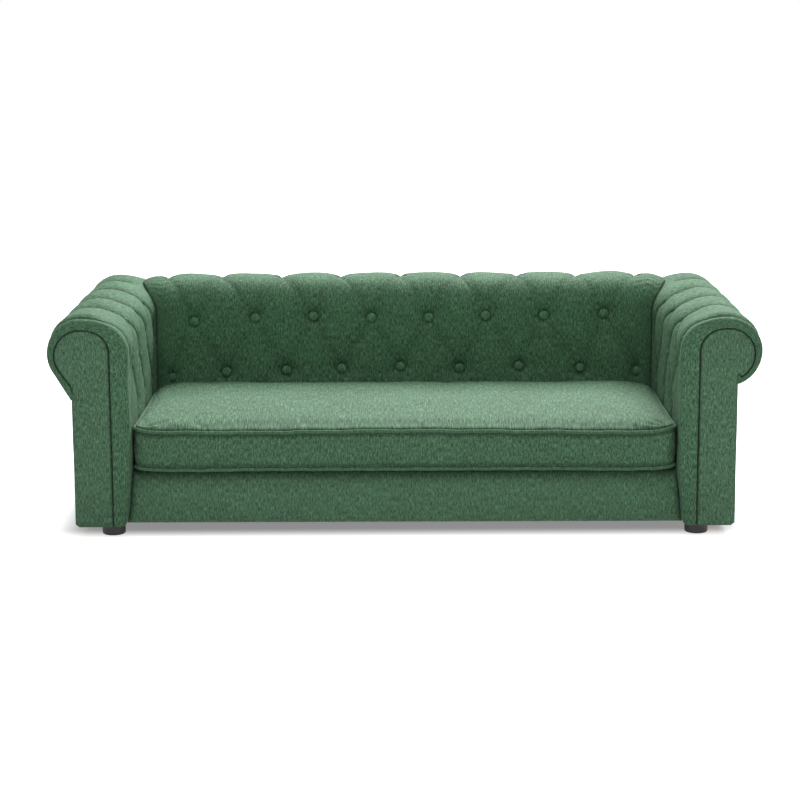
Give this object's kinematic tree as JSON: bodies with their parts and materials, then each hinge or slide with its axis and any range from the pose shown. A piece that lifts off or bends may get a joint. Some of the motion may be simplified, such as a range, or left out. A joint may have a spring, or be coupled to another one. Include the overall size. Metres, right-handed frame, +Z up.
{
  "type": "dog sofa bed",
  "caption": "Pet-size rolled-arm sofa bed in heathered green chenille, button-tufted arms and back, loose piped seat cushion, low black feet.",
  "frame": {"origin": "on the floor under the middle of the sofa's overall box", "axes": "+X to the right seen from the front, +Y to the rear, +Z up; the open front faces -Y"},
  "size_m": [1.1992, 0.56, 0.3967],
  "materials": {
    "tufted_chenille": "heathered green chenille, deep buttoned",
    "panel_chenille": "heathered green chenille over board",
    "button_chenille": "heathered green chenille, covered buttons",
    "cushion_chenille": "heathered green chenille",
    "piping_chenille": "heathered green chenille piping",
    "foam": "cream open-cell foam",
    "deck_cloth": "dark green woven lining",
    "dust_cloth": "black non-woven dust cloth",
    "plywood": "raw birch plywood",
    "timber": "raw planed pine",
    "hardboard": "raw hardboard",
    "foot_plastic": "satin black moulded plastic",
    "zinc_steel": "zinc plated",
    "zip_tape": "woven green tape with a nylon coil",
    "zip_metal": "painted green"
  },
  "bodies": {
    "sofa_frame": {"left_arm_tufted_pad": "tufted_chenille", "right_arm_tufted_pad": "tufted_chenille", "back_tufted_pad": "tufted_chenille", "base_front_pad": "tufted_chenille", "left_arm_front_facing": "panel_chenille", "right_arm_front_facing": "panel_chenille", "left_arm_rear_facing": "panel_chenille", "right_arm_rear_facing": "panel_chenille", "left_arm_outer_panel": "panel_chenille", "right_arm_outer_panel": "panel_chenille", "back_left_end_facing": "panel_chenille", "back_right_end_facing": "panel_chenille", "back_rear_panel": "panel_chenille", "left_arm_buttons": "button_chenille", "right_arm_buttons": "button_chenille", "back_buttons": "button_chenille", "left_arm_front_board": "plywood", "right_arm_front_board": "plywood", "left_arm_rear_board": "plywood", "right_arm_rear_board": "plywood", "left_arm_bottom_board": "plywood", "right_arm_bottom_board": "plywood", "back_left_end_board": "plywood", "back_right_end_board": "plywood", "left_arm_inner_rail": "timber", "right_arm_inner_rail": "timber", "left_arm_top_rail": "timber", "right_arm_top_rail": "timber", "left_arm_outer_rail": "timber", "right_arm_outer_rail": "timber", "back_foot_rail": "timber", "back_seat_rail": "timber", "back_top_rail": "timber", "back_outer_rails": "timber", "base_front_rail": "timber", "base_rear_rail": "timber", "base_left_side_rail": "timber", "base_right_side_rail": "timber", "base_cross_bearers": "timber", "base_corner_blocks": "timber", "left_arm_skin": "hardboard", "right_arm_skin": "hardboard", "back_skin": "hardboard", "base_dust_cover": "dust_cloth", "back_dust_cover": "dust_cloth", "base_deck": "plywood", "deck_cloth": "deck_cloth", "front_left_foot": "foot_plastic", "front_right_foot": "foot_plastic", "rear_left_foot": "foot_plastic", "rear_right_foot": "foot_plastic", "foot_screws": "zinc_steel", "frame_bolts": "zinc_steel", "frame_washers": "zinc_steel", "frame_nuts": "zinc_steel"},
    "seat_cushion": {"cushion_cover": "cushion_chenille", "cushion_foam_core": "foam", "cushion_welts": "piping_chenille", "cushion_zip": "zip_tape"},
    "zip_slider": {"zip_slider": "zip_metal"}
  },
  "joints": [
    {"name": "seat_cushion_lift", "type": "slide", "parent": "sofa_frame", "child": "seat_cushion", "axis": [0, 0, 1], "range_m": [0, 0.3]},
    {"name": "zip_slider_travel", "type": "slide", "parent": "seat_cushion", "child": "zip_slider", "axis": [1, 0, 0], "range_m": [0, 0.756]}
  ]
}
